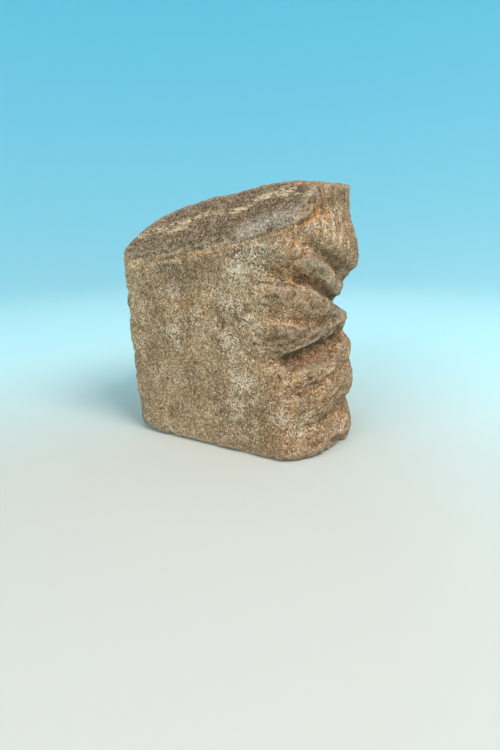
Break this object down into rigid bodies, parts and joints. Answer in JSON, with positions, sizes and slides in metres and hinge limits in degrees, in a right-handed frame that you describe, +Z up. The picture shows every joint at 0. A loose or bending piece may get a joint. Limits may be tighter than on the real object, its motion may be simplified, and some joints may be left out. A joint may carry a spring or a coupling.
{
  "type": "stone corbel",
  "caption": "Weathered sandstone corbel: a plain squared tail to build into a wall, and a front carved with stacked rolls and fanning furrows.",
  "frame": {"origin": "middle of the tail's flat end, on the plane of the wall", "axes": "+Z up, +Y into the wall, the carved front faces -Y, the side with the broken slope faces -X"},
  "size_m": [0.1146, 0.165, 0.1835],
  "materials": {
    "sandstone": "coarse brown gritstone, weathered and unpolished"
  },
  "bodies": {
    "root": {"corbel": "sandstone"}
  },
  "joints": []
}
